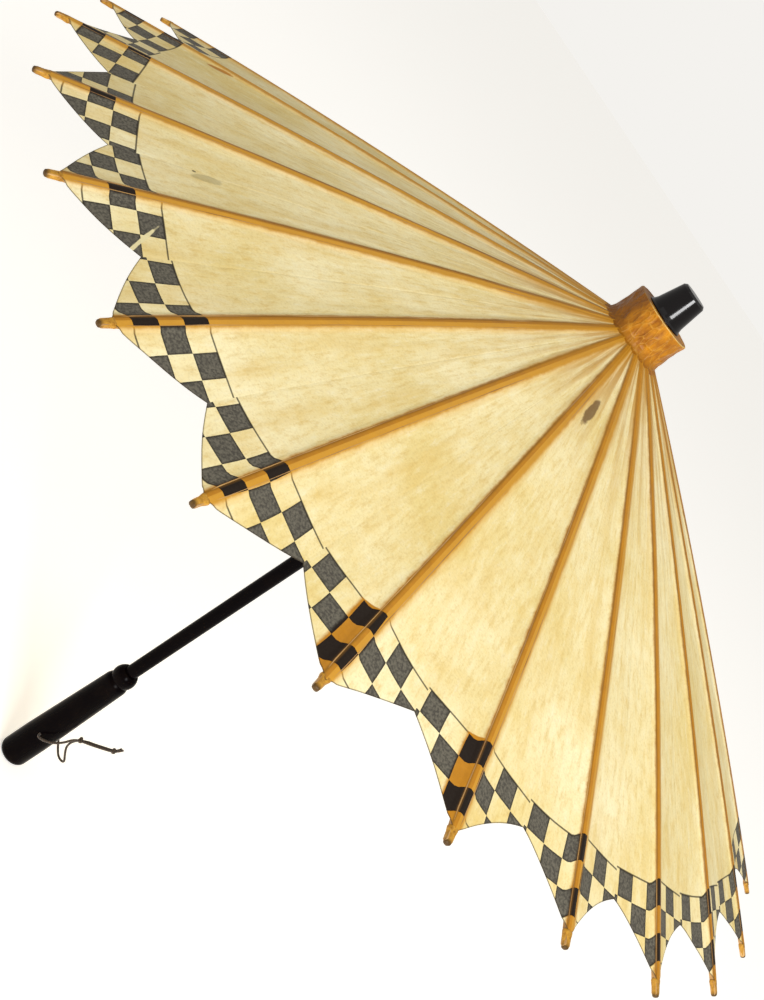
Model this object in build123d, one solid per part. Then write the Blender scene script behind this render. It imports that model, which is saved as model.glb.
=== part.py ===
"""Oil paper umbrella: 24 split bamboo ribs and stretchers on a lacquered shaft.

Millimetres, +Z up along the shaft towards the ferrule. The origin is the centre of the
handle's butt face. The umbrella is modelled open. Rib 0 stands at RIB_0_AZIMUTH and the
others follow every 15 degrees. Each rib, its stretcher, and the two hinge circles make an
isosceles linkage: hub hinge to pivot is as long as pivot to runner hinge, and both hinge
circles have one radius, so the runner travels straight along the shaft.
"""

import os
from math import cos, radians, sin, sqrt, tan

from build123d import *

# ---------------------------------------------------------------- driving dimensions
RIB_COUNT = 24
RIB_0_AZIMUTH = 7.5
OPEN_ANGLE = 66.4          # between a rib's chord and the shaft, umbrella open
HUB_HINGE_Z = 573.0
HINGE_R = 18.0             # radius of the thread ring that the ribs turn on
LINK = 171.0               # hub hinge to pivot, and pivot to runner hinge
RIB_LENGTH = 395.0
RIB_BOW = 3.4              # rise of the bent rib's middle above its chord

FIT = 0.05                 # radial clearance of a pin or a sliding bore
THREAD_R = 0.4

SHAFT_R = 5.65
SHAFT_BOTTOM_Z = 62.0
SHAFT_TOP_Z = 610.0

HANDLE_LENGTH = 127.0
HANDLE_R = 12.4
HANDLE_NECK_R = 10.4
BUTT_FLAT_R = 7.9
BUTT_ROUND_Z = 6.0
TAPER_START_Z = 28.0       # the grip is straight below this
TAPER_END_Z = 110.0
GROOVE_R, GROOVE_Z = 8.7, 115.3
BEAD_R, BEAD_Z = 9.9, 120.8
COLLAR_R = 7.2
CORD_HOLE_Z = 40.0
CORD_R = 0.9
TAIL_R = 1.3

BAR_THICK = 3.0            # rib, across the paper
TONGUE_WIDE = 1.5
SLOT_WIDE = 1.8
TONGUE_LONG = 6.5
RIB_HALF_WIDTHS = [        # along the chord, half the bar's width
    (TONGUE_LONG, 1.8),
    (100.0, 2.75),
    (378.0, 3.2),
    (388.0, 2.2),
    (RIB_LENGTH + 2, 1.9),
]
LUG_HALF_LONG = 3.0
LUG_WIDE = 5.0
LUG_DROP = 1.6             # below the pivot
PIVOT_PIN_R = 0.5
STRETCHER_WIDE = 3.6
STRETCHER_THICK = 2.5

HUB_R = 22.0
RUNNER_R = 21.0
RUNNER_NECK_R = 10.0
RUNNER_NECK_LONG = 32.0
SLOT_INNER_R = 14.0

PAPER = 0.4
PAPER_GAP = 1.1            # between the ribs' backs and the paper
PAPER_INNER_R = 22.8
COVER_R = 24.5
COVER_HIGH = 22.5
COVER_WALL = 0.6
FERRULE_HIGH = 24.0
FERRULE_PROFILE = [        # radius, height above the hub cover
    (15.2, 0.0),
    (15.2, 0.7),
    (14.1, 1.9),
    (13.3, 4.2),
    (10.7, FERRULE_HIGH - 1.6),
    (9.2, FERRULE_HIGH),
]

CATCH_AZIMUTH = 0.0
CATCH_LONG = 46.0
CATCH_HEAD_LONG = 20.0     # the wedge that the runner rides over
CATCH_LIP = 3.0
CATCH_PIN_UP = 2.0         # above the leaf's foot
CATCH_PIN_X = 4.5
CATCH_INNER_X = 3.9
CATCH_OUTER_X = 5.1
CATCH_HEAD_X = 8.4
CATCH_WIDE = 2.6
CATCH_SLOT_WIDE = 3.0
CATCH_GAP = 0.3            # under the open runner
STOP_PIN_R = 1.0
STOP_PIN_LONG = 15.0

# ---------------------------------------------------------------- worked out
PITCH = 360.0 / RIB_COUNT
RUNNER_HINGE_Z = HUB_HINGE_Z - 2 * LINK * cos(radians(OPEN_ANGLE))
BOW_R = RIB_LENGTH**2 / (8 * RIB_BOW) + RIB_BOW / 2
RUNNER_BOTTOM_Z = RUNNER_HINGE_Z - 4.0 - RUNNER_NECK_LONG
RUNNER_TOP_Z = RUNNER_HINGE_Z + 3.5
CATCH_TOP_Z = RUNNER_BOTTOM_Z - CATCH_GAP
CATCH_PIN_R = PIVOT_PIN_R - 0.1


def bow(s):
    """Height of the rib's bent centreline above its chord, at s along the chord."""
    half = RIB_LENGTH / 2
    return sqrt(BOW_R**2 - (s - half) ** 2) - (BOW_R - RIB_BOW)


def from_chord(s, up):
    """(radius, z) of a point given along a rib's chord and square above it."""
    angle = radians(OPEN_ANGLE)
    r = HINGE_R + s * sin(angle) + up * cos(angle)
    return r, HUB_HINGE_Z - s * cos(angle) + up * sin(angle)


def azimuth(index):
    return RIB_0_AZIMUTH + PITCH * index


def extrude_side(face, wide):
    """A face drawn in the XZ plane, made wide across Y about the plane."""
    return extrude(face, amount=wide / 2, both=True)


def side_box(x0, x1, y_wide, z0, z1):
    centre = Pos((x0 + x1) / 2, 0, (z0 + z1) / 2)
    return centre * Box(x1 - x0, y_wide, z1 - z0)


def cross_pin(x, z, radius, wide):
    """A cylinder along Y, centred on the XZ plane."""
    return Pos(x, 0, z) * Rot(90, 0, 0) * Cylinder(radius, wide)


def turned(points):
    """A solid of revolution about Z from (radius, z) points."""
    outline = Plane.XZ * make_face(Polyline(*points, close=True))
    return revolve(outline, Axis.Z)


def ring_tunnel(z):
    """The square channel that a thread ring lies in."""
    half = 0.8
    r0, r1 = HINGE_R - half, HINGE_R + half
    return turned([(r0, z - half), (r1, z - half), (r1, z + half), (r0, z + half)])


def radial_slots(z0, z1):
    """One slot at each rib, open outwards, from z0 to z1."""
    outer = HUB_R + 4
    slot = side_box(SLOT_INNER_R, outer, SLOT_WIDE, z0, z1)
    return [Rot(0, 0, azimuth(i)) * slot for i in range(RIB_COUNT)]


def thread_ring(z):
    return Pos(0, 0, z) * Torus(HINGE_R, THREAD_R)


# ---------------------------------------------------------------- shaft, handle, catch
def catch_leaf():
    """Sprung leaf with a wedge head, in the XZ plane, its head under the open runner."""
    foot = CATCH_TOP_Z - CATCH_LONG
    outline = [
        (CATCH_INNER_X, foot),
        (CATCH_OUTER_X, foot),
        (CATCH_OUTER_X, CATCH_TOP_Z - CATCH_HEAD_LONG),
        (CATCH_HEAD_X, CATCH_TOP_Z - CATCH_LIP),
        (CATCH_HEAD_X, CATCH_TOP_Z),
        (CATCH_INNER_X, CATCH_TOP_Z),
    ]
    leaf = extrude_side(Plane.XZ * make_face(Polyline(*outline, close=True)), CATCH_WIDE)
    pin = cross_pin(CATCH_PIN_X, foot + CATCH_PIN_UP, CATCH_PIN_R, 4)
    return Rot(0, 0, CATCH_AZIMUTH) * (leaf - pin)


def catch_pin():
    """Pin through the leaf's foot, in the walls of the shaft's slot."""
    z = CATCH_TOP_Z - CATCH_LONG + CATCH_PIN_UP
    return Rot(0, 0, CATCH_AZIMUTH) * cross_pin(CATCH_PIN_X, z, CATCH_PIN_R, 5.0)


def stop_pin():
    z = RUNNER_TOP_Z + STOP_PIN_R + CATCH_GAP
    return Pos(0, 0, z) * Rot(90, 0, 0) * Cylinder(STOP_PIN_R, STOP_PIN_LONG)


def shaft():
    rod = Pos(0, 0, (SHAFT_BOTTOM_Z + SHAFT_TOP_Z) / 2)
    rod = rod * Cylinder(SHAFT_R, SHAFT_TOP_Z - SHAFT_BOTTOM_Z)
    foot = CATCH_TOP_Z - CATCH_LONG - 1.0
    slot = side_box(-0.6, 9, CATCH_SLOT_WIDE, foot, CATCH_TOP_Z + 0.5)
    return rod - Rot(0, 0, CATCH_AZIMUTH) * slot - stop_pin() - catch_pin()


def handle():
    """Turned grip: rounded butt, slight taper, a groove and one bead at the shaft."""
    with BuildPart() as grip:
        with BuildSketch(Plane.XZ):
            with BuildLine():
                Line((0, 0), (BUTT_FLAT_R, 0))
                RadiusArc((BUTT_FLAT_R, 0), (HANDLE_R, BUTT_ROUND_Z), -6.2)
                Line((HANDLE_R, BUTT_ROUND_Z), (HANDLE_R, TAPER_START_Z))
                Line((HANDLE_R, TAPER_START_Z), (HANDLE_NECK_R, TAPER_END_Z))
                RadiusArc((HANDLE_NECK_R, TAPER_END_Z), (GROOVE_R, GROOVE_Z), -9.0)
                ThreePointArc((GROOVE_R, GROOVE_Z), (BEAD_R, BEAD_Z), (COLLAR_R, HANDLE_LENGTH))
                Line((COLLAR_R, HANDLE_LENGTH), (0, HANDLE_LENGTH))
                Line((0, HANDLE_LENGTH), (0, 0))
            make_face()
        revolve(axis=Axis.Z)
    body = grip.part
    bore_high = HANDLE_LENGTH - SHAFT_BOTTOM_Z
    body -= Pos(0, 0, SHAFT_BOTTOM_Z + bore_high / 2) * Cylinder(SHAFT_R, bore_high)
    cord_hole = Pos(0, 0, CORD_HOLE_Z) * Rot(90, 0, 0) * Cylinder(CORD_R + 0.1, 3 * HANDLE_R)
    return body - cord_hole


# ---------------------------------------------------------------- wrist cord
# The loop leaves one knot, folds back on itself, passes behind the grip, goes through
# the cross hole, comes round the front and ends in the same knot. The tied ends go on
# side by side to a second knot.
LOOP = [
    (20.9, 0.7, 57.0),
    (18.7, 1.2, 50.8),
    (19.1, 1.8, 44.6),
    (22.3, 2.2, 39.9),
    (29.4, 2.6, 33.4),
    (23.4, 4.0, 31.0),
    (17.6, 9.4, 31.2),
    (11.2, 14.9, 33.6),
    (2.6, 17.6, CORD_HOLE_Z - 0.8),
    (0.0, 15.6, CORD_HOLE_Z),
    (0.0, -15.6, CORD_HOLE_Z),
    (3.0, -17.8, CORD_HOLE_Z + 1.2),
    (10.6, -15.2, 45.4),
    (15.6, -9.2, 50.6),
    (17.6, -3.4, 54.8),
    (20.9, -0.8, 57.9),
]
TAIL = [(21.5, 0.0, 58.4), (30.0, 0.4, 65.6), (36.4, 0.2, 71.6), (42.1, 0.0, 76.9)]
WHISKER = [(42.1, 0.0, 76.9), (44.2, 0.0, 80.2), (45.4, 0.0, 84.4)]
KNOT_1 = (21.5, 0.0, 58.4)
KNOT_2 = (42.1, 0.0, 76.9)


def arc_radii(points):
    """The largest arc at each inner point, from its two runs and its turn."""
    radii = []
    for before, at, after in zip(points, points[1:], points[2:]):
        run_in = Vector(at) - Vector(before)
        run_out = Vector(after) - Vector(at)
        half_turn = radians(run_in.get_angle(run_out)) / 2
        radii.append(0.45 * min(run_in.length, run_out.length) / tan(half_turn))
    return radii


def cord_tube(name, points, radius):
    radii = arc_radii(points)
    print(name, "arc radii:", " ".join(f"{r:.1f}" for r in radii))
    path = FilletPolyline(*points, radius=radii)
    section = Plane(origin=path @ 0, z_dir=path % 0) * Circle(radius)
    tube = sweep(section, path=path)
    print(name, f"length {path.length:.1f}")
    return tube


def wrist_cord():
    knot_1 = Pos(*KNOT_1) * Sphere(2.6)
    knot_2 = Pos(*KNOT_2) * Sphere(2.4)
    loop = cord_tube("loop", LOOP, CORD_R) - knot_1
    tail = cord_tube("tail", TAIL, TAIL_R) - knot_1 - knot_2
    whisker = cord_tube("whisker", WHISKER, TAIL_R) - knot_2
    solids = [*loop.solids(), *tail.solids(), *whisker.solids()]
    return Compound(children=[*solids, *knot_1.solids(), *knot_2.solids()])


# ---------------------------------------------------------------- hub, runner, head
def paper_top(s):
    """(radius, z) of the paper's outer face over a rib, at s along the chord."""
    return from_chord(s, bow(s) + BAR_THICK / 2 + PAPER_GAP + PAPER)


def chord_at_radius(radius):
    """How far along the chord the paper's outer face has this radius."""
    s = (radius - HINGE_R) / sin(radians(OPEN_ANGLE))
    for _ in range(20):
        s += (radius - paper_top(s)[0]) / sin(radians(OPEN_ANGLE))
    return s


COVER_BOTTOM_Z = paper_top(chord_at_radius(COVER_R - COVER_WALL))[1] + 0.2
COVER_TOP_Z = COVER_BOTTOM_Z + COVER_HIGH


def upper_hub():
    """Slotted wooden head, glued on the shaft, its slots open outwards and downwards."""
    low, high = HUB_HINGE_Z - 4.0, COVER_TOP_Z - COVER_WALL
    head = Pos(0, 0, (low + high) / 2) * Cylinder(HUB_R, high - low)
    head -= Pos(0, 0, (low + high) / 2) * Cylinder(SHAFT_R, high - low)
    return head - radial_slots(low - 1, HUB_HINGE_Z + 2.2) - ring_tunnel(HUB_HINGE_Z)


def runner():
    """Slotted flange on a neck, sliding on the shaft, its slots open upwards."""
    low = RUNNER_HINGE_Z - 4.0
    outline = [
        (SHAFT_R + 2 * FIT, RUNNER_BOTTOM_Z),
        (RUNNER_NECK_R, RUNNER_BOTTOM_Z),
        (RUNNER_NECK_R, low - 3.0),
        (RUNNER_R, low),
        (RUNNER_R, RUNNER_TOP_Z),
        (SHAFT_R + 2 * FIT, RUNNER_TOP_Z),
    ]
    slots = radial_slots(RUNNER_HINGE_Z - 2.2, RUNNER_TOP_Z + 1)
    return turned(outline) - slots - ring_tunnel(RUNNER_HINGE_Z)


def hub_cover():
    """Cap of oiled paper over the head, its edge just on the canopy."""
    inner_r = COVER_R - COVER_WALL
    inner_top = COVER_TOP_Z - COVER_WALL
    return turned([
        (COVER_R, COVER_BOTTOM_Z),
        (COVER_R, COVER_TOP_Z - 1.6),
        (COVER_R - 1.6, COVER_TOP_Z),
        (SHAFT_R, COVER_TOP_Z),
        (SHAFT_R, inner_top),
        (inner_r - 1.4, inner_top),
        (inner_r, inner_top - 1.4),
        (inner_r, COVER_BOTTOM_Z),
    ])


def ferrule():
    """Turned cap on the shaft's end, flared where it stands on the hub cover."""
    base = COVER_TOP_Z
    outline = [(radius, base + up) for radius, up in FERRULE_PROFILE]
    body = turned([(0, base), *outline, (0, base + FERRULE_HIGH)])
    bore_high = SHAFT_TOP_Z - base
    return body - Pos(0, 0, base + bore_high / 2) * Cylinder(SHAFT_R, bore_high)


# ---------------------------------------------------------------- ribs and stretchers
def rib_side():
    """The bent bar from the side: chord along X, hinge at the origin."""
    half = BAR_THICK / 2
    mid = RIB_LENGTH / 2
    outer = ThreePointArc((0, half), (mid, RIB_BOW + half), (RIB_LENGTH, half))
    tip = ThreePointArc((RIB_LENGTH, half), (RIB_LENGTH + 1.2, 0), (RIB_LENGTH, -half))
    inner = ThreePointArc((RIB_LENGTH, -half), (mid, RIB_BOW - half), (0, -half))
    nose = ThreePointArc((0, -half), (-half, 0), (0, half))
    return Plane.XZ * make_face(outer + tip + inner + nose)


def rib_plan():
    """The bar from above: a narrow tongue, a width that grows to the rim, a slender tip."""
    half_tongue = TONGUE_WIDE / 2
    edge = [(-4, half_tongue), (TONGUE_LONG, half_tongue), *RIB_HALF_WIDTHS]
    mirrored = [(x, -y) for x, y in reversed(edge)]
    return make_face(Polyline(*edge, *mirrored, close=True))


def rib_flat():
    """One rib on its chord, with the forked lug that its stretcher turns in."""
    bar = extrude_side(rib_side(), 10)
    bar &= extrude(rib_plan(), amount=12, both=True)
    lug_top = bow(LINK) - 0.5
    lug = side_box(LINK - LUG_HALF_LONG, LINK + LUG_HALF_LONG, LUG_WIDE, -LUG_DROP, lug_top)
    slot_top = bow(LINK) - BAR_THICK / 2 - 0.2
    slot = side_box(LINK - 5, LINK + 5, SLOT_WIDE, -LUG_DROP - 1, slot_top)
    pivot = cross_pin(LINK, 0, PIVOT_PIN_R + FIT, 8)
    thread_hole = cross_pin(0, 0, THREAD_R + 0.1, 4)
    return bar + (lug - slot) - pivot - thread_hole


def stretcher_flat():
    """A stretcher and its pivot pin, laid flat: pin at the origin, runner end along X."""
    half = STRETCHER_THICK / 2
    side = side_box(0, LINK, 10, -half, half)
    side += cross_pin(0, 0, half, 10) + cross_pin(LINK, 0, half, 10)
    pin_end, runner_end = 5.0, LINK - TONGUE_LONG
    bar = side_box(pin_end, runner_end, STRETCHER_WIDE, -9, 9)
    bar += side_box(-2, LINK + 2, TONGUE_WIDE, -9, 9)
    bar = side & bar
    bar -= cross_pin(0, 0, PIVOT_PIN_R, 4)
    bar -= cross_pin(LINK, 0, THREAD_R + 0.1, 4)
    pin = cross_pin(0, 0, PIVOT_PIN_R, LUG_WIDE + 0.4)
    return [bar, pin]


def place_rib(flat, index):
    at_hinge = Pos(HINGE_R, 0, HUB_HINGE_Z) * Rot(0, 90 - OPEN_ANGLE, 0)
    return Rot(0, 0, azimuth(index)) * at_hinge * flat


def place_stretcher(pieces, index):
    """From the rib's pivot down and in to the runner's thread ring."""
    pivot_r, pivot_z = from_chord(LINK, 0)
    inward = Pos(pivot_r, 0, pivot_z) * Rot(0, 90 + OPEN_ANGLE, 0)
    placed = [Rot(0, 0, azimuth(index)) * inward * piece for piece in pieces]
    return Compound(children=[piece.solid() for piece in placed])


# ---------------------------------------------------------------- paper
STATIONS = [100.0, 200.0, 300.0]   # along the chord, where the paper's facets change slope
CORNER_S = 389.0                   # the paper's corner at each rib
CREASE_RADIUS = cos(radians(PITCH / 2))
CREASE_DROP = 0.012                # how far the mid panel crease hangs, per unit radius
SCALLOP = [(0.5, 0.958), (1.0, 0.92)]   # share to the crease, share of the corner's radius


def panel_point(radius, z, share, side):
    """A point on one half panel: share 0 over the rib, 1 on the crease."""
    half_pitch = radians(PITCH / 2) * side
    crease = (radius * CREASE_RADIUS * cos(half_pitch), radius * CREASE_RADIUS * sin(half_pitch))
    x = radius + (crease[0] - radius) * share
    y = crease[1] * share
    return (x, y, z - CREASE_DROP * radius * share)


def half_panel(side, drop):
    """The flat facets of one half panel, as point lists from the hub to the scalloped edge."""
    rows = [paper_top(s) for s in [chord_at_radius(PAPER_INNER_R), *STATIONS]]
    facets = []
    for (r0, z0), (r1, z1) in zip(rows, rows[1:]):
        corners = [(r0, z0, 0), (r1, z1, 0), (r1, z1, 1), (r0, z0, 1)]
        facets.append([panel_point(r, z - drop, share, side) for r, z, share in corners])
    r0, z0 = rows[-1]
    r1, z1 = paper_top(CORNER_S)
    edge = [(0.0, 1.0), *SCALLOP]
    last = [panel_point(r0, z0 - drop, 0, side)]
    for share, part in edge:
        radius = r1 * part
        z = z0 + (z1 - z0) * (radius - r0) / (r1 - r0)
        last.append(panel_point(radius, z - drop, share, side))
    last.append(panel_point(r0, z0 - drop, 1, side))
    return [*facets, last]


def canopy_paper():
    """Closed thin shell: folded to a valley between every two ribs, scalloped at the rim."""
    faces = []
    for index in range(RIB_COUNT):
        for side in (-1, 1):
            upper = half_panel(side, 0.0)
            lower = half_panel(side, PAPER)
            rim = list(zip(upper[-1][1:-1], lower[-1][1:-1]))
            hub_edge = [(upper[0][k], lower[0][k]) for k in (0, -1)]
            walls = [[a[0], b[0], b[1], a[1]] for a, b in zip(rim, rim[1:])]
            walls.append([hub_edge[0][0], hub_edge[1][0], hub_edge[1][1], hub_edge[0][1]])
            for outline in [*upper, *lower, *walls]:
                face = Face(Wire.make_polygon(outline, close=True))
                faces.append(Rot(0, 0, azimuth(index)) * face)
    shell = Shell(Face.sew_faces(faces)[0])
    return Solid(shell)


# ---------------------------------------------------------------- write the nodes
os.makedirs("parts", exist_ok=True)

nodes = {
    "shaft": shaft(),
    "handle": handle(),
    "ferrule": ferrule(),
    "upper_hub": upper_hub(),
    "upper_hub_thread": thread_ring(HUB_HINGE_Z),
    "hub_cover": hub_cover(),
    "runner": runner(),
    "runner_thread": thread_ring(RUNNER_HINGE_Z),
    "catch_spring": catch_leaf(),
    "stop_pin": stop_pin(),
    "canopy_paper": canopy_paper(),
    "wrist_cord": wrist_cord(),
}
one_rib = rib_flat()
one_stretcher = stretcher_flat()
for number in range(RIB_COUNT):
    nodes[f"rib_{number:02d}"] = place_rib(one_rib, number)
    nodes[f"stretcher_{number:02d}"] = place_stretcher(one_stretcher, number)

for name, solid in nodes.items():
    export_step(solid, f"parts/{name}.step")
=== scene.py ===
"""Oil paper umbrella, open: painted paper over 24 split bamboo ribs on a black lacquered shaft."""

import bpy
import numpy as np
from mathutils import Matrix, Vector


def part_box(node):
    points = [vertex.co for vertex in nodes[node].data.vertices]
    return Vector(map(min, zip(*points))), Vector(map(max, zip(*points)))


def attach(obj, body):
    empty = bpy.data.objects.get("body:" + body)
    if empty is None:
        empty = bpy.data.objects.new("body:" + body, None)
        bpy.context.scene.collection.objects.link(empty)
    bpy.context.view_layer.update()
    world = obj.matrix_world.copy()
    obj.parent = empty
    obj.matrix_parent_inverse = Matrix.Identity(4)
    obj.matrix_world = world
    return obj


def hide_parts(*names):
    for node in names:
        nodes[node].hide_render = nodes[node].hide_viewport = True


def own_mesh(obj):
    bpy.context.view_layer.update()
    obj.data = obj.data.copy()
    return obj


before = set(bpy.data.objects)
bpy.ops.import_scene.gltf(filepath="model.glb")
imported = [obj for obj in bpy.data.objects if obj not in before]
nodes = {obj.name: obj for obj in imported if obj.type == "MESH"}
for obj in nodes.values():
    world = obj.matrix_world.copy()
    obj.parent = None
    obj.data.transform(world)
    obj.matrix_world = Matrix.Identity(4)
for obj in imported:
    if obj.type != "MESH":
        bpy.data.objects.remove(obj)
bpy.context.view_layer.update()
MM = 0.001

# ---------------------------------------------------------------- view
# The umbrella stands on its grip's flat butt, a metre from the eye, which looks down on it
# and is rolled so that the shaft runs from the lower left to the upper right.
EYE = (-0.0053, -1.0001, 0.6937)
EYE_RIGHT = (0.5568, 0.2573, 0.7898)
EYE_UP = (-0.8307, 0.1749, 0.5286)
LENS = 54.27

camera = bpy.data.objects.new("camera", bpy.data.cameras.new("camera"))
bpy.context.collection.objects.link(camera)
camera.data.lens = LENS
right = Vector(EYE_RIGHT).normalized()
back = right.cross(Vector(EYE_UP)).normalized()
turned = Matrix((right, back.cross(right), back)).transposed()
camera.matrix_world = Matrix.Translation(EYE) @ turned.to_4x4()
bpy.context.scene.camera = camera


# ---------------------------------------------------------------- shaft, grip and ferrule
# Turned hardwood, coated in several layers of black lacquer and rubbed to a gloss. The grip
# and the ferrule are glued on the shaft's two ends.
LACQUER = "#070405"
LACQUER_WORN = "#1C120C"


def linear(hex_colour, alpha=1.0):
    """sRGB hex to linear: c/12.92 up to 0.04045, ((c+0.055)/1.055)^2.4 above it."""
    c = np.array([int(hex_colour[k:k + 2], 16) / 255 for k in (1, 3, 5)])
    return (*np.where(c <= 0.04045, c / 12.92, ((c + 0.055) / 1.055) ** 2.4), alpha)


def add_node(material, kind, inputs=None, **settings):
    """Adds a node, sets its properties, sets or links its inputs, and gives its outputs.
    Inputs go by name, or by number: 1 to 4 of a map range are from low, from high, to low
    and to high, and 6 and 7 of a colour mix are its two colours."""
    made = material.node_tree.nodes.new(kind)
    for name, value in settings.items():
        setattr(made, name, value)
    for key, value in (inputs or {}).items():
        if isinstance(value, bpy.types.NodeSocket):
            material.node_tree.links.new(value, made.inputs[key])
        else:
            made.inputs[key].default_value = value
    return made.outputs


def finish_named(name, **shader):
    """A new material with its shader's plain values set on the sockets themselves."""
    material = bpy.data.materials.new(name)
    material.use_nodes = True
    for key, value in shader.items():
        socket = key.replace("_", " ").capitalize().replace("Ior", "IOR")
        named = {s.name.lower(): s for s in surface_of(material).inputs}
        named[socket.lower()].default_value = value
    return material


def surface_of(material):
    """The material's main shader."""
    return material.node_tree.nodes["Principled BSDF"]


def drive(material, **sockets):
    """Links node outputs to the shader's sockets."""
    named = {s.name.lower(): s for s in surface_of(material).inputs}
    for key, output in sockets.items():
        material.node_tree.links.new(output, named[key.replace("_", " ").lower()])


def paint(names, material):
    """Gives CAD nodes this material in every slot."""
    for name in names:
        slots = nodes[name].data.materials
        if len(slots) == 0:
            slots.append(material)
        for k in range(len(slots)):
            slots[k] = material


# Black lacquer, IOR about 1.5: a deep wet gloss, with faint flow marks left by the brush and
# a brownish bloom where hands have rubbed it.
lacquer = finish_named("black_lacquer", IOR=1.5, specular_ior_level=0.03)
spot = add_node(lacquer, "ShaderNodeTexCoord")["Object"]
bloom = add_node(lacquer, "ShaderNodeTexNoise", {"Vector": spot, "Scale": 1 / (22 * MM),
                                                 "Detail": 5.0, "Roughness": 0.6})[0]
worn = add_node(lacquer, "ShaderNodeMapRange", {"Value": bloom, 1: 0.52, 2: 0.78, 3: 0.0,
                                                4: 0.35})[0]
colour = add_node(lacquer, "ShaderNodeMix", {"Factor": worn, 6: linear(LACQUER),
                                             7: linear(LACQUER_WORN)}, data_type="RGBA")[2]
stretched = add_node(lacquer, "ShaderNodeMapping", {"Vector": spot, "Scale": (1, 1, 0.12)})[0]
flow = add_node(lacquer, "ShaderNodeTexNoise", {"Vector": stretched, "Scale": 1 / (3 * MM),
                                                "Detail": 2.0})[0]
rubbing_and_sheen = add_node(lacquer, "ShaderNodeMapRange", {"Value": bloom, 1: 0.3, 2: 0.8, 3: 0.14,
                                                  4: 0.34})[0]
relief = add_node(lacquer, "ShaderNodeBump", {"Height": flow, "Strength": 0.25,
                                              "Distance": 0.12 * MM})[0]
drive(lacquer, base_color=colour, roughness=rubbing_and_sheen, normal=relief)
paint(["shaft", "handle"], lacquer)

# The ferrule's lacquer has been polished: the same black, with a sharp bright reflection.
polished = finish_named("polished_lacquer", IOR=1.5, specular_ior_level=0.24,
                        coat_weight=0.3, coat_roughness=0.12)
spot = add_node(polished, "ShaderNodeTexCoord")["Object"]
haze = add_node(polished, "ShaderNodeTexNoise", {"Vector": spot, "Scale": 1 / (6 * MM),
                                                 "Detail": 4.0})[0]
rubbing_and_sheen = add_node(polished, "ShaderNodeMapRange", {"Value": haze, 1: 0.3, 2: 0.8, 3: 0.13,
                                                   4: 0.2})[0]
colour = add_node(polished, "ShaderNodeMix", {"Factor": haze, 6: linear(LACQUER),
                                              7: linear("#0D090A")}, data_type="RGBA")[2]
drive(polished, base_color=colour, roughness=rubbing_and_sheen)
paint(["ferrule"], polished)


# ---------------------------------------------------------------- hub and runner
# Two turned wooden blocks with 24 saw cuts each. The upper one is glued on the shaft, the
# runner slides. A waxed thread through every bar's end lies in a ring groove in each.
WOOD = "#B98A50"
WOOD_DARK = "#7C5427"

# Close-grained softwood, sanded and oiled: pale tan with darker growth lines along the turned
# axis and fine rings left by the turning tool.
turned_wood = finish_named("turned_wood", roughness=0.5, IOR=1.5)
spot = add_node(turned_wood, "ShaderNodeTexCoord")["Object"]
stretched = add_node(turned_wood, "ShaderNodeMapping", {"Vector": spot, "Scale": (1, 1, 0.1)})[0]
grain = add_node(turned_wood, "ShaderNodeTexNoise", {"Vector": stretched, "Scale": 1 / (1.6 * MM),
                                                     "Detail": 6.0, "Roughness": 0.65})[0]
rings = add_node(turned_wood, "ShaderNodeTexWave", {"Vector": spot, "Scale": 1 / (9 * MM),
                                                    "Distortion": 0.6},
                 bands_direction="Z")[1]
shade = add_node(turned_wood, "ShaderNodeMapRange", {"Value": grain, 1: 0.35, 2: 0.7})[0]
colour = add_node(turned_wood, "ShaderNodeMix", {"Factor": shade, 6: linear(WOOD_DARK),
                                                 7: linear(WOOD)}, data_type="RGBA")[2]
height = add_node(turned_wood, "ShaderNodeMath", {0: grain, 1: rings}, operation="ADD")[0]
relief = add_node(turned_wood, "ShaderNodeBump", {"Height": height, "Strength": 0.4,
                                                  "Distance": 0.15 * MM})[0]
drive(turned_wood, base_color=colour, normal=relief)
paint(["upper_hub", "runner"], turned_wood)

# Waxed cotton thread, two plies: the lay shows as slanted dark lines, 1.2 mm apart.
thread = finish_named("waxed_thread", roughness=0.6, sheen_weight=0.3)
spot = add_node(thread, "ShaderNodeTexCoord")["Object"]
plies = add_node(thread, "ShaderNodeTexWave", {"Vector": spot, "Scale": 1 / (3.2 * MM),
                                               "Distortion": 1.0}, bands_direction="DIAGONAL")[1]
colour = add_node(thread, "ShaderNodeMix", {"Factor": plies, 6: linear("#5E4A2C"),
                                            7: linear("#A98B58")}, data_type="RGBA")[2]
relief = add_node(thread, "ShaderNodeBump", {"Height": plies, "Distance": 0.2 * MM})[0]
drive(thread, base_color=colour, normal=relief)
paint(["upper_hub_thread", "runner_thread"], thread)

# Spring steel, filed and dulled by handling: fine scratches and brown spots.
steel = finish_named("dulled_steel", metallic=1.0)
spot = add_node(steel, "ShaderNodeTexCoord")["Object"]
scratch = add_node(steel, "ShaderNodeMapping", {"Vector": spot, "Scale": (1, 1, 0.05)})[0]
lines = add_node(steel, "ShaderNodeTexNoise", {"Vector": scratch, "Scale": 1 / (0.5 * MM),
                                               "Detail": 3.0})[0]
rust = add_node(steel, "ShaderNodeTexNoise", {"Vector": spot, "Scale": 1 / (6 * MM)})[0]
spots = add_node(steel, "ShaderNodeMapRange", {"Value": rust, 1: 0.5, 2: 0.7})[0]
colour = add_node(steel, "ShaderNodeMix", {"Factor": spots, 6: linear("#8E8A84"),
                                           7: linear("#5B4634")}, data_type="RGBA")[2]
rough = add_node(steel, "ShaderNodeMapRange", {"Value": lines, 3: 0.28, 4: 0.5})[0]
relief = add_node(steel, "ShaderNodeBump", {"Height": lines, "Strength": 0.4,
                                            "Distance": 0.05 * MM})[0]
drive(steel, base_color=colour, roughness=rough, normal=relief)
paint(["catch_spring", "stop_pin"], steel)


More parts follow.
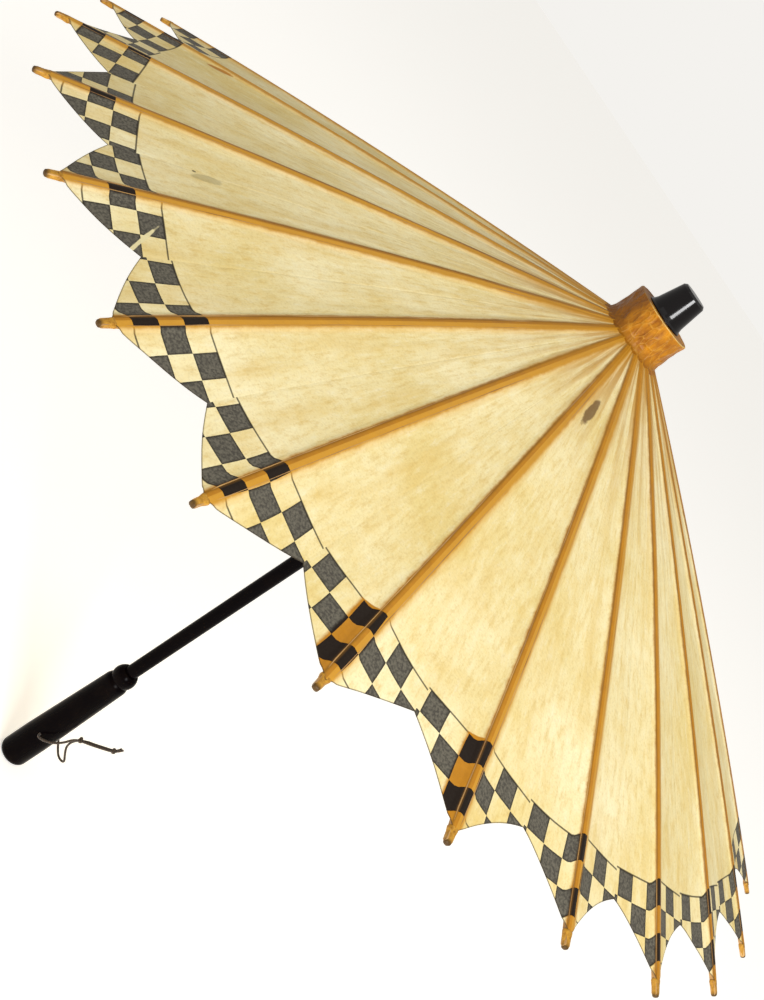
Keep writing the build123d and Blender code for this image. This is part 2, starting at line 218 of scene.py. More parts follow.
# ---------------------------------------------------------------- ribs and stretchers
# Bars split from one bamboo culm, so that their nodes line up, shaved and smoked. Each rib
# turns in the hub and is propped by its stretcher, which turns in the runner.
RIB_COUNT = 24
PITCH = 360 / RIB_COUNT                      # degrees from one rib to the next
RIB_0_AZIMUTH = PITCH / 2
BAMBOO = "#C79A58"
BAMBOO_DARK = "#8A5E2B"

# Split bamboo: long fine fibres, 0.4 mm wide, drawn out along each bar, darker bundles among
# them, and a satin skin. The fibre pattern is read from the angle round the shaft.
bamboo = finish_named("split_bamboo", roughness=0.45, IOR=1.5, coat_weight=0.1)
spot = add_node(bamboo, "ShaderNodeTexCoord")["Object"]
axes = add_node(bamboo, "ShaderNodeSeparateXYZ", {0: spot})
angle = add_node(bamboo, "ShaderNodeMath", {0: axes[1], 1: axes[0]}, operation="ARCTAN2")[0]
flat = add_node(bamboo, "ShaderNodeCombineXYZ", {0: axes[0], 1: axes[1]})[0]
radius = add_node(bamboo, "ShaderNodeVectorMath", {0: flat}, operation="LENGTH")[1]
across = add_node(bamboo, "ShaderNodeMath", {0: angle, 1: 200 * MM}, operation="MULTIPLY")[0]
along = add_node(bamboo, "ShaderNodeMath", {0: radius, 1: 0.03}, operation="MULTIPLY")[0]
drawn = add_node(bamboo, "ShaderNodeCombineXYZ", {0: across, 1: along, 2: axes[2]})[0]
drawn = add_node(bamboo, "ShaderNodeMapping", {"Vector": drawn, "Scale": (1, 1, 0.06)})[0]
fibres = add_node(bamboo, "ShaderNodeTexNoise", {"Vector": drawn, "Scale": 1 / (0.8 * MM),
                                                 "Detail": 4.0, "Roughness": 0.7})[0]
patches = add_node(bamboo, "ShaderNodeTexNoise", {"Vector": spot, "Scale": 1 / (40 * MM),
                                                  "Detail": 3.0})[0]
mixed = add_node(bamboo, "ShaderNodeMath", {0: fibres, 1: patches}, operation="ADD")[0]
shade = add_node(bamboo, "ShaderNodeMapRange", {"Value": mixed, 1: 0.75, 2: 1.25})[0]
colour = add_node(bamboo, "ShaderNodeMix", {"Factor": shade, 6: linear(BAMBOO_DARK),
                                            7: linear(BAMBOO)}, data_type="RGBA")[2]
relief = add_node(bamboo, "ShaderNodeBump", {"Height": fibres, "Strength": 0.5,
                                             "Distance": 0.12 * MM})[0]
drive(bamboo, base_color=colour, normal=relief)
paint([f"rib_{i:02d}" for i in range(RIB_COUNT)], bamboo)
paint([f"stretcher_{i:02d}" for i in range(RIB_COUNT)], bamboo)


# ---------------------------------------------------------------- paper canopy
# Mulberry paper, pasted over the ribs' backs, painted at the rim, oiled, and brushed with
# orange lacquer along each rib. It is folded to a valley between every two ribs. Each piece
# is the paper of one rib, from valley to valley, so that it can fold with the rib.
OPEN_ANGLE = np.radians(66.4)
HUB_HINGE = np.array([18.0, 573.0])          # radius and height of the hub's thread ring
RIB_LENGTH = 395.0
RIB_BOW = 3.4                                # rise of the bent rib over its chord
OUT_PER_MM = 0.905                           # radius gained along a rib near its tip
PAPER_OVER = 1.8                             # outer face over the rib's centreline
PAPER_THICK = 0.25
PAPER_INNER_S = 4.0                          # along the rib, from its hinge
PAPER_CORNER_S = 390.6
VALLEY_IN = 0.01704                          # how far a valley lies inside its ribs' circle
VALLEY_SIDE = 0.12941                        # half the distance between two ribs
VALLEY_DROP = 0.012                          # how far it hangs; these three per unit radius
NOTCH_CUT = 0.084                            # share of the corner's radius cut at a valley
CURL_RIBS = (0, 6, 12, 14, 16, 18, 19, 21, 23)   # cut by hand: between some ribs the rim is
CURLS = (0.05, 0.03, 0.01, -0.006, -0.004, 0.012, 0.045, 0.062, 0.055)    # more hollow
SLIP_RIBS = (5, 6.5, 13.4, 13.8, 15.2, 15.6)     # ruled by hand: the columns drift between
SLIPS = (0.033, -0.2, -0.2, -0.033, -0.033, 0.033)   # ribs by a share of a rib's spacing
COLUMNS_EACH = 25                            # grid cells from a rib to a valley
ROWS = 84
CHECK_START = 335.0                          # along the rib
CHECK_LONG = 14.73
CHECKS_ROUND = 6                             # from one rib to the next
CHECK_BULGES = (5.0, 4.5)    # how much further out they start at the valley after a rib, and
                             # just before the rib, where the painter set the ruler anew


def grid_mesh(name, points, closed_round=False, **attributes):
    """A mesh on a grid of points: quad (i, j) joins point (i, j) to the next in each
    direction. Every attribute is an array over the same grid."""
    rows, columns = points.shape[:2]
    index = np.arange(rows * columns).reshape(rows, columns)
    if closed_round:
        index = np.concatenate([index, index[:, :1]], axis=1)
    quads = np.stack([index[:-1, :-1], index[:-1, 1:], index[1:, 1:], index[1:, :-1]], axis=-1)
    quads = quads.reshape(-1, 4)
    mesh = bpy.data.meshes.new(name)
    mesh.from_pydata(points.reshape(-1, 3) * MM, [], quads)
    mesh.polygons.foreach_set("use_smooth", np.ones(len(quads), bool))
    for key, values in attributes.items():
        kind = "FLOAT_VECTOR" if values.ndim == 3 else "FLOAT"
        field = "vector" if values.ndim == 3 else "value"
        made = mesh.attributes.new(key, kind, "POINT")
        made.data.foreach_set(field, values.astype(np.float32).ravel())
    piece = bpy.data.objects.new(name, mesh)
    bpy.context.collection.objects.link(piece)
    return piece


def rib_bow(s):
    """Height of the bent rib over its chord: a circle's arc, RIB_BOW high in the middle."""
    circle = RIB_LENGTH**2 / (8 * RIB_BOW) + RIB_BOW / 2
    return np.sqrt(circle**2 - (s - RIB_LENGTH / 2) ** 2) - (circle - RIB_BOW)


def rib_point(s, up):
    """Radius and height of a point s along a rib's chord and up square to it."""
    radius = HUB_HINGE[0] + s * np.sin(OPEN_ANGLE) + up * np.cos(OPEN_ANGLE)
    return radius, HUB_HINGE[1] - s * np.cos(OPEN_ANGLE) + up * np.sin(OPEN_ANGLE)


def smooth(x):
    """0 below 0, 1 above 1, and 3 x x - 2 x x x between."""
    x = np.clip(x, 0, 1)
    return x * x * (3 - 2 * x)


def rib_half_width(s):
    """Half the width of a rib's flat back, straight lines between three places."""
    return np.interp(s, [0, 100, 392], [1.9, 2.75, 3.25])


def wander(x, y, length, seed):
    """Slow random waves, about 1 high: a sum of six sine waves in random directions, each
    about length long."""
    draw = np.random.default_rng(seed)
    total = 0
    for _ in range(6):
        heading, phase = draw.uniform(0, 2 * np.pi, 2)
        number = 2 * np.pi / (length * draw.uniform(0.7, 1.5))
        total = total + np.sin((x * np.cos(heading) + y * np.sin(heading)) * number + phase)
    return total / 2.5


def about_shaft(x, y, z, azimuth):
    """Points given outwards, sideways and up, turned to an azimuth."""
    c, s = np.cos(np.radians(azimuth)), np.sin(np.radians(azimuth))
    return np.stack([x * c - y * s, x * s + y * c, z], axis=-1)


def paper_surface(radius, height, side, s):
    """The sheet beside a rib: out from the rib at share side of the way to the valley, the
    paper rounds into the valley, VALLEY_DROP of its radius lower, by t(2 - t), and steps
    down softly where it leaves the rib's flat back."""
    share = np.abs(side)
    x = radius * (1 - VALLEY_IN * share)
    y = radius * VALLEY_SIDE * side
    away = np.abs(y) - rib_half_width(s) - 0.2
    room = np.clip(radius * VALLEY_SIDE - rib_half_width(s) - 0.2, 0.4, 3.6)
    step = 0.9 * smooth(away / room) * (1 - 0.6 * smooth(share))
    return x, y, height - radius * VALLEY_DROP * share * (2 - share) - step


def canopy_panel(number):
    """Grid of one rib's paper. Columns run from valley to valley, close together over the
    rib's edges. Rows run from the hub to the rim, where the share of the corner's radius is
    1 - (n + c) t + c t t at t of the way to the valley, n for the notch and c for the curl."""
    azimuth = RIB_0_AZIMUTH + PITCH * number
    w = np.abs(np.linspace(-1, 1, 2 * COLUMNS_EACH + 1))[None, :]
    sign = np.sign(np.linspace(-1, 1, 2 * COLUMNS_EACH + 1))[None, :]
    v = (np.linspace(0, 1, ROWS) ** 0.9)[:, None]
    nominal = PAPER_INNER_S + (PAPER_CORNER_S - PAPER_INNER_S) * v
    reach = rib_point(nominal, rib_bow(nominal) + PAPER_OVER)[0] * VALLEY_SIDE
    near = np.minimum(rib_half_width(nominal) + 3.4, 0.62 * reach)
    y = np.where(w < 0.45, near * w / 0.45, near + (reach - near) * (w - 0.45) / 0.55)
    side = sign * y / reach
    share = np.abs(side)
    corner_radius = rib_point(PAPER_CORNER_S, PAPER_OVER)[0]
    curl = np.interp(number + side / 2, CURL_RIBS, CURLS)
    lost = (NOTCH_CUT + curl) * share - curl * share**2
    uneven = 0.6 * wander(side * 3 + number * 6, 0 * side, 4.0, 11) * share * (1 - share) * 4
    rim = PAPER_CORNER_S - lost * corner_radius / OUT_PER_MM + uneven
    s = PAPER_INNER_S + (rim - PAPER_INNER_S) * v
    radius, height = rib_point(s, rib_bow(s) + PAPER_OVER)
    points = about_shaft(*paper_surface(radius, height, side, s), azimuth)
    lift = 0.3 * wander(points[..., 0], points[..., 1], 55, 3)
    points[..., 2] += lift * np.minimum(share * 2, 1) * smooth(s / 120)

    index = number + side / 2
    slip = np.interp(index, SLIP_RIBS, SLIPS)
    hand = wander(index * 20, s * 0.35, 26, 5) * 0.07
    column = (index - slip) * CHECKS_ROUND + hand
    before = CHECK_BULGES[1] * smooth(share / 0.2) * (1 - 0.3 * share)
    start = CHECK_START + np.where(side > 0, CHECK_BULGES[0] * share**1.5, before)
    row = (s - start) / CHECK_LONG + 0.06 * wander(index * 20, s * 0.1, 30, 8)
    check = np.stack([column, row, np.full_like(row, 0.5)], axis=-1)
    off_rib = np.abs(y * sign) - rib_half_width(s)
    place = np.stack([y * sign + 0 * s, s, off_rib], axis=-1)
    lay = np.stack([index + 0 * s, s, rim - s], axis=-1)
    piece = grid_mesh(f"canopy_panel_{number:02d}", points, check=check, place=place,
                      lay=lay, rest=points * MM)
    paper = piece.modifiers.new("paper", "SOLIDIFY")
    paper.thickness, paper.offset = PAPER_THICK * MM, -1
    piece.modifiers.new("flat_faces_lead", "WEIGHTED_NORMAL")
    return piece


# Oiled mulberry paper, painted: a warm cream sheet, clouded by the oil, with long fine fibres
# and creases that run out from the hub.
oiled_paper = finish_named("oiled_paper", IOR=1.45, specular_ior_level=0.22)
rest, check, place, lay = (
    add_node(oiled_paper, "ShaderNodeAttribute", attribute_name=name)[1]
    for name in ("rest", "check", "place", "lay"))
place = add_node(oiled_paper, "ShaderNodeSeparateXYZ", {0: place})
check_parts = add_node(oiled_paper, "ShaderNodeSeparateXYZ", {0: check})
lay_parts = add_node(oiled_paper, "ShaderNodeSeparateXYZ", {0: lay})

clouds = add_node(oiled_paper, "ShaderNodeTexNoise", {"Vector": rest, "Scale": 1 / (90 * MM),
                                                      "Detail": 4.0, "Roughness": 0.6})[0]
mottle = add_node(oiled_paper, "ShaderNodeTexNoise", {"Vector": rest, "Scale": 1 / (9 * MM),
                                                      "Detail": 5.0, "Roughness": 0.7})[0]
fine = add_node(oiled_paper, "ShaderNodeTexNoise", {"Vector": rest, "Scale": 1 / (1.4 * MM),
                                                    "Detail": 3.0})[0]
radial = add_node(oiled_paper, "ShaderNodeMapping", {"Vector": lay, "Scale": (1, 0.004, 0)})[0]
streaks = add_node(oiled_paper, "ShaderNodeTexNoise", {"Vector": radial, "Scale": 16.0,
                                                       "Detail": 5.0, "Roughness": 0.75})[0]
radial = add_node(oiled_paper, "ShaderNodeMapping", {"Vector": lay, "Scale": (1, 0.002, 0)})[0]
folds = add_node(oiled_paper, "ShaderNodeTexNoise", {"Vector": radial, "Scale": 5.0,
                                                     "Detail": 3.0})[0]
pale = add_node(oiled_paper, "ShaderNodeMapRange", {"Value": clouds, 1: 0.35, 2: 0.68})[0]
colour = add_node(oiled_paper, "ShaderNodeMix", {"Factor": pale, 6: linear("#E4CF8C"),
                                                 7: linear("#F6EABC")}, data_type="RGBA")[2]
# layers of tint: pattern, where it begins and is full, how strong it gets, and its colour
for pattern, begins, full, strong, tint in [
        (mottle, 0.45, 0.8, 0.5, "#E8CB80"), (streaks, 0.5, 0.72, 0.6, "#CFA950"),
        (streaks, 0.46, 0.3, 0.5, "#F4ECCB"), (folds, 0.5, 0.68, 0.45, "#DCBC6C"),
        (fine, 0.5, 0.8, 0.25, "#B08E48")]:
    amount = add_node(oiled_paper, "ShaderNodeMapRange", {"Value": pattern, 1: begins,
                                                          2: full, 4: strong})[0]
    colour = add_node(oiled_paper, "ShaderNodeMix", {"Factor": amount, 6: colour,
                                                     7: linear(tint)}, data_type="RGBA")[2]

# the checks: dark where column and row numbers add up to an odd number, in three rows
checker = add_node(oiled_paper, "ShaderNodeTexChecker", {"Vector": check, 1: (1, 1, 1, 1),
                                                         2: (0, 0, 0, 1), "Scale": 1.0})[1]
first = add_node(oiled_paper, "ShaderNodeMath", {0: check_parts[1], 1: 0.0},
                 operation="GREATER_THAN")[0]
last = add_node(oiled_paper, "ShaderNodeMath", {0: check_parts[1], 1: 3.0},
                operation="LESS_THAN")[0]
rows = add_node(oiled_paper, "ShaderNodeMath", {0: first, 1: last}, operation="MULTIPLY")[0]
dark = add_node(oiled_paper, "ShaderNodeMath", {0: checker, 1: rows}, operation="MULTIPLY")[0]
from_side = add_node(oiled_paper, "ShaderNodeMath", {0: check_parts[0], 1: 0.5},
                     operation="PINGPONG")[0]
from_row = add_node(oiled_paper, "ShaderNodeMath", {0: check_parts[1], 1: 0.5},
                    operation="PINGPONG")[0]
nearest = add_node(oiled_paper, "ShaderNodeMath", {0: from_side, 1: from_row},
                   operation="MINIMUM")[0]
ink_rim = add_node(oiled_paper, "ShaderNodeMapRange", {"Value": nearest, 1: 0.0, 2: 0.09,
                                                       3: 1.0, 4: 0.0})[0]
flecks = add_node(oiled_paper, "ShaderNodeMapRange", {"Value": fine, 1: 0.38, 2: 0.62})[0]
ink = add_node(oiled_paper, "ShaderNodeMix", {"Factor": flecks, 6: linear("#4A463E"),
                                              7: linear("#6A6558")}, data_type="RGBA")[2]
ink = add_node(oiled_paper, "ShaderNodeMix", {"Factor": ink_rim, 6: ink,
                                              7: linear("#2B261D")}, data_type="RGBA")[2]
inked = add_node(oiled_paper, "ShaderNodeMix", {"Factor": dark, 6: colour, 7: ink},
                 data_type="RGBA")[2]

# the two ruled lines, before the first row and after the last
for ruled in (0.0, 3.0):
    gap = add_node(oiled_paper, "ShaderNodeMath", {0: check_parts[1], 1: ruled},
                   operation="SUBTRACT")[0]
    gap = add_node(oiled_paper, "ShaderNodeMath", {0: gap}, operation="ABSOLUTE")[0]
    line = add_node(oiled_paper, "ShaderNodeMapRange", {"Value": gap, 1: 0.022, 2: 0.045,
                                                        3: 0.85, 4: 0.0})[0]
    inked = add_node(oiled_paper, "ShaderNodeMix", {"Factor": line, 6: inked,
                                                    7: linear("#241E14")}, data_type="RGBA")[2]

# orange lacquer over the rib, its edge 2.4 mm soft and made uneven by the brush; before two
# of the ribs, 18 and 19, it was flooded on over the checks
FLOODED_RIBS = 18.25                         # middle of the flooded stretch, by rib number
FLOOD_WIDE = 10.0                            # beyond the rib's edge
ragged = add_node(oiled_paper, "ShaderNodeMath", {0: mottle, 1: 3.0, 2: -1.5},
                  operation="MULTIPLY_ADD")[0]
edge = add_node(oiled_paper, "ShaderNodeMath", {0: place[2], 1: ragged}, operation="ADD")[0]
flooded = add_node(oiled_paper, "ShaderNodeMapRange", {"Value": place[1], 1: 336.0, 2: 339.0})[0]
from_pair = add_node(oiled_paper, "ShaderNodeMath", {0: lay_parts[0], 1: FLOODED_RIBS},
                     operation="SUBTRACT")[0]
from_pair = add_node(oiled_paper, "ShaderNodeMath", {0: from_pair}, operation="ABSOLUTE")[0]
before_rib = add_node(oiled_paper, "ShaderNodeMath", {0: place[0], 1: 0.0},
                      operation="LESS_THAN")[0]
flooded = add_node(oiled_paper, "ShaderNodeMath", {0: flooded, 1: before_rib},
                   operation="MULTIPLY")[0]
on_pair = add_node(oiled_paper, "ShaderNodeMapRange", {"Value": from_pair, 1: 0.74, 2: 0.76,
                                                       3: -FLOOD_WIDE, 4: 0.0})[0]
edge = add_node(oiled_paper, "ShaderNodeMath", {0: flooded, 1: on_pair, 2: edge},
                operation="MULTIPLY_ADD")[0]
band = add_node(oiled_paper, "ShaderNodeMapRange", {"Value": edge, 1: -0.4, 2: 2.0, 3: 1.0,
                                                    4: 0.0}, interpolation_type="SMOOTHSTEP")[0]
glaze = add_node(oiled_paper, "ShaderNodeMix", {"Factor": mottle, 6: linear("#9C6206"),
                                                7: linear("#CA8810")}, data_type="RGBA")[2]
covered = add_node(oiled_paper, "ShaderNodeMath", {0: band, 1: 0.97}, operation="MULTIPLY")[0]
over_cream = add_node(oiled_paper, "ShaderNodeMix", {"Factor": covered, 6: inked, 7: glaze},
                      data_type="RGBA")[2]
over_ink = add_node(oiled_paper, "ShaderNodeMix", {"Factor": covered, 6: inked,
                                                   7: linear("#1A0E05")}, data_type="RGBA")[2]
colour = add_node(oiled_paper, "ShaderNodeMix", {"Factor": dark, 6: over_cream, 7: over_ink},
                  data_type="RGBA")[2]

# painted shade, partly grime, along the band's one side where its raised edge turns from the
# light, and a stain of lacquer that has run off the other
side_gap = add_node(oiled_paper, "ShaderNodeMath", {0: place[0], 1: 2.6}, operation="ADD")[0]
side_gap = add_node(oiled_paper, "ShaderNodeMath", {0: side_gap}, operation="ABSOLUTE")[0]
shade_and_grime = add_node(oiled_paper, "ShaderNodeMapRange", {"Value": side_gap, 1: 0.0, 2: 1.3,
                                                     3: 0.7, 4: 0.0})[0]
colour = add_node(oiled_paper, "ShaderNodeMix", {"Factor": shade_and_grime, 6: colour,
                                                 7: linear("#6E4A0C")}, data_type="RGBA")[2]
blurred = add_node(oiled_paper, "ShaderNodeMapRange", {"Value": edge, 1: 0.0, 2: 5.0, 3: 0.6,
                                                       4: 0.0})[0]
one_side = add_node(oiled_paper, "ShaderNodeMath", {0: place[0], 1: 0.0},
                    operation="GREATER_THAN")[0]
clean = add_node(oiled_paper, "ShaderNodeMath", {0: 1.0, 1: dark}, operation="SUBTRACT")[0]
blurred = add_node(oiled_paper, "ShaderNodeMath", {0: blurred, 1: one_side},
                   operation="MULTIPLY")[0]
blurred = add_node(oiled_paper, "ShaderNodeMath", {0: blurred, 1: clean},
                   operation="MULTIPLY")[0]
colour = add_node(oiled_paper, "ShaderNodeMix", {"Factor": blurred, 6: colour,
                                                 7: linear("#CF9A36")}, data_type="RGBA")[2]

# more lacquer and dirt towards the hub, caught in the folds
near_hub = add_node(oiled_paper, "ShaderNodeMapRange", {"Value": place[1], 1: 6.0, 2: 150.0,
                                                        3: 1.0, 4: 0.0})[0]
near_hub = add_node(oiled_paper, "ShaderNodeMath", {0: near_hub, 1: 1.3},
                    operation="POWER")[0]
streaked = add_node(oiled_paper, "ShaderNodeMapRange", {"Value": folds, 1: 0.4, 2: 0.6,
                                                        3: 0.08, 4: 1.0})[0]
ochre = add_node(oiled_paper, "ShaderNodeMath", {0: near_hub, 1: streaked},
                 operation="MULTIPLY")[0]
colour = add_node(oiled_paper, "ShaderNodeMix", {"Factor": ochre, 6: colour,
                                                 7: linear("#B27A1A")}, data_type="RGBA")[2]

# the cut rim, dark with handling
rim_line = add_node(oiled_paper, "ShaderNodeMapRange", {"Value": lay_parts[2], 1: 0.25, 2: 0.9,
                                                        3: 0.75, 4: 0.0})[0]
colour = add_node(oiled_paper, "ShaderNodeMix", {"Factor": rim_line, 6: colour,
                                                 7: linear("#3A2F1C")}, data_type="RGBA")[2]

# marks of use, each an oval: place by rib number and distance along the rib, half width and
# half length in mm, lean in radians, colour, and how strongly it covers
MARKS = [
    ("stain", 18.36, 89.3, 3.0, 14.5, -0.06, "#6A4C2A", 0.85),
    ("patch", 15.377, 352.7, 1.2, 17.0, 0.75, "#E6D9A6", 0.95),
    ("smudge", 14.55, 299.0, 3.5, 10.0, 0.1, "#AFA070", 0.6),
    ("tear", 12.10, 304.0, 2.4, 9.0, 0.2, "#B4741A", 0.9),
    ("speck", 14.50, 306.0, 0.9, 1.4, 0.0, "#6E6142", 0.9),
]
for _name, at_index, at_s, half_wide, half_long, lean, tint, strength in MARKS:
    wide = 2 * VALLEY_SIDE * rib_point(at_s, 0)[0]
    moved = add_node(oiled_paper, "ShaderNodeVectorMath", {0: lay, 1: (at_index, at_s, 0)},
                     operation="SUBTRACT")[0]
    moved = add_node(oiled_paper, "ShaderNodeVectorMath", {0: moved, 1: (wide, 1, 0)},
                     operation="MULTIPLY")[0]
    moved = add_node(oiled_paper, "ShaderNodeMapping", {"Vector": moved,
                                                        "Rotation": (0, 0, lean)})[0]
    moved = add_node(oiled_paper, "ShaderNodeVectorMath",
                     {0: moved, 1: (1 / half_wide, 1 / half_long, 0)}, operation="MULTIPLY")[0]
    reach = add_node(oiled_paper, "ShaderNodeVectorMath", {0: moved}, operation="LENGTH")[1]
    reach = add_node(oiled_paper, "ShaderNodeMath", {0: mottle, 1: 1.1, 2: reach},
                     operation="MULTIPLY_ADD")[0]
    cover = add_node(oiled_paper, "ShaderNodeMapRange", {"Value": reach, 1: 1.4, 2: 1.65,
                                                         3: strength, 4: 0.0})[0]
    colour = add_node(oiled_paper, "ShaderNodeMix", {"Factor": cover, 6: colour,
                                                     7: linear(tint)}, data_type="RGBA")[2]

height = add_node(oiled_paper, "ShaderNodeMath", {0: folds, 1: 3.0, 2: mottle},
                  operation="MULTIPLY_ADD")[0]
height = add_node(oiled_paper, "ShaderNodeMath", {0: fine, 1: 0.35, 2: height},
                  operation="MULTIPLY_ADD")[0]
relief = add_node(oiled_paper, "ShaderNodeBump", {"Height": height, "Strength": 0.55,
                                                  "Distance": 0.5 * MM})[0]
rough = add_node(oiled_paper, "ShaderNodeMapRange", {"Value": mottle, 1: 0.3, 2: 0.7, 3: 0.42,
                                                     4: 0.6})[0]
drive(oiled_paper, base_color=colour, roughness=rough, normal=relief)

for number in range(RIB_COUNT):
    panel = canopy_panel(number)
    panel.data.materials.append(oiled_paper)
    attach(panel, f"rib_{number:02d}")
    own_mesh(panel)
    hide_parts("canopy_paper")


# ---------------------------------------------------------------- rib tips
# Each rib's end is bound with a strip of lacquered paper, which also holds the canopy's
# corner, and is dabbed dark at its rounded end.
TIP_PROFILE = np.array([          # along the rib, half width, half thickness
    [387.4, 2.9, 1.7], [388.2, 3.1, 2.0], [389.8, 2.75, 2.0], [391.5, 2.35, 1.85],
    [393.5, 2.15, 1.75], [395.3, 2.1, 1.7], [396.6, 1.95, 1.55], [397.2, 1.2, 1.0],
    [397.4, 0.0, 0.0],
])


def rib_tip(number):
    """A flattened sleeve: at each place along the rib the section is a rounded oblong, half
    width times |cos|^0.7 and half thickness times |sin|^0.7, a little uneven."""
    along = np.linspace(0, len(TIP_PROFILE) - 1, 26)
    known = np.arange(len(TIP_PROFILE))
    s, wide, thick = (np.interp(along, known, TIP_PROFILE[:, k])[:, None] for k in range(3))
    turn = np.linspace(0, 2 * np.pi, 28, endpoint=False)[None, :]
    rounded_cos = np.sign(np.cos(turn)) * np.abs(np.cos(turn)) ** 0.7
    rounded_sin = np.sign(np.sin(turn)) * np.abs(np.sin(turn)) ** 0.7
    uneven = 1 + 0.05 * wander(s * 1.0 + 90 * number, turn * 2.5 + 0 * s, 7, 21)
    radius, height = rib_point(s, rib_bow(s) + thick * rounded_sin * uneven)
    points = about_shaft(radius, wide * rounded_cos * uneven, height,
                         RIB_0_AZIMUTH + PITCH * number)
    points[-1] = points[-1].mean(axis=0)
    dab = np.broadcast_to(s, points.shape[:2])
    return grid_mesh(f"rib_tip_{number:02d}", points[:, ::-1], closed_round=True, dab=dab)


# Lacquered paper binding: glossy orange brown, thick and streaky, nearly black at the end.
tip_lacquer = finish_named("lacquered_binding", roughness=0.4, specular_ior_level=0.25)
spot = add_node(tip_lacquer, "ShaderNodeTexCoord")["Object"]
blot = add_node(tip_lacquer, "ShaderNodeTexNoise", {"Vector": spot, "Scale": 1 / (2.5 * MM),
                                                    "Detail": 4.0, "Roughness": 0.7})[0]
shade = add_node(tip_lacquer, "ShaderNodeMapRange", {"Value": blot, 1: 0.3, 2: 0.7})[0]
colour = add_node(tip_lacquer, "ShaderNodeMix", {"Factor": shade, 6: linear("#8A5A14"),
                                                 7: linear("#CF9A36")}, data_type="RGBA")[2]
dab = add_node(tip_lacquer, "ShaderNodeAttribute", attribute_name="dab")[2]
dab = add_node(tip_lacquer, "ShaderNodeMath", {0: blot, 1: 4.0, 2: dab},
               operation="MULTIPLY_ADD")[0]
end = add_node(tip_lacquer, "ShaderNodeMapRange", {"Value": dab, 1: 396.2, 2: 398.4, 3: 0.0,
                                                   4: 0.85})[0]
colour = add_node(tip_lacquer, "ShaderNodeMix", {"Factor": end, 6: colour,
                                                 7: linear("#2E2012")}, data_type="RGBA")[2]
relief = add_node(tip_lacquer, "ShaderNodeBump", {"Height": blot, "Strength": 0.6,
                                                  "Distance": 0.3 * MM})[0]
drive(tip_lacquer, base_color=colour, normal=relief)

for number in range(RIB_COUNT):
    tip = rib_tip(number)
    tip.data.materials.append(tip_lacquer)
    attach(tip, f"rib_{number:02d}")


# ---------------------------------------------------------------- hub cover
# A cap of the same paper, pasted round the wooden head in one strip with a disc on top,
# crumpled where it was worked down, lacquered orange, its lower edge spread on the canopy.
COVER_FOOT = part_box("hub_cover")[0][2] / MM
COVER_SKIRT_R = 28.5
COVER_ROUND = 24.0                           # radius at which the crumples are laid out


def canopy_height(radius, turn):
    """Height of the canopy's outer face at a radius and an angle in degrees from a rib."""
    s = (radius - HUB_HINGE[0] - PAPER_OVER * np.cos(OPEN_ANGLE)) / np.sin(OPEN_ANGLE)
    half = PITCH / 2
    side = ((turn + half) % PITCH - half) / half
    on_rib = rib_point(s, rib_bow(np.clip(s, 0, None)) + PAPER_OVER)[1]
    return paper_surface(radius, on_rib, side, s)[2]


def hub_cover():
    """Turned profile from the skirt up the wall, over a rounded rim with a small lip, and in
    to the ferrule. The skirt lies on the canopy. Crumples are slow waves, sharpened by
    taking 1 minus their size, so that they meet in creases."""
    profile = np.array([
        [COVER_SKIRT_R, -1.0], [27.2, -1.0], [26.0, -1.0], [25.2, 0.55], [24.7, 1.6],
        [24.4, 4.0], [24.3, 9.0], [24.2, 15.0], [24.3, 19.5], [24.5, 21.6], [24.35, 22.35],
        [23.6, 22.7], [22.6, 22.45], [20.0, 22.3], [16.0, 22.3], [14.2, 22.2], [11.0, 22.2],
    ])
    v = np.linspace(0, len(profile) - 1, 110)
    known = np.arange(len(profile))
    radius = np.interp(v, known, profile[:, 0])[:, None]
    height = COVER_FOOT + np.interp(v, known, profile[:, 1])[:, None]
    turn = np.linspace(0, 360, 360, endpoint=False)[None, :]
    angle = np.radians(turn)
    wave = wander(angle * COVER_ROUND + 0 * height, height + 0 * turn, 13, 31)
    slow = wander(np.cos(angle) * COVER_ROUND, np.sin(angle) * COVER_ROUND + height, 22, 32)
    crumple = 0.45 * (1 - 1.6 * np.abs(wave)) + 0.35 * slow
    on_wall = smooth((v[:, None] - 2) / 2.5) * smooth((12.5 - v[:, None]) / 2)
    radius = radius + crumple * on_wall * 0.75
    lower = 0.8 * wander(turn / 6.0, 0 * turn, 5, 33)
    radius = radius + lower * smooth((2 - v[:, None]) / 2)
    lying = canopy_height(radius, turn - RIB_0_AZIMUTH) + 0.3
    up = smooth((v[:, None] - 1.4) / 2.2)
    height = lying * (1 - up) + height * up + 0 * turn
    on_top = smooth((v[:, None] - 11) / 1.5) * smooth((15 - v[:, None]) / 1)
    height = height + 0.12 * slow * on_top
    points = about_shaft(radius, 0 * radius, height, turn)
    low = np.broadcast_to(v[:, None], points.shape[:2])
    return grid_mesh("hub_cover_paper", points, closed_round=True, part=low)
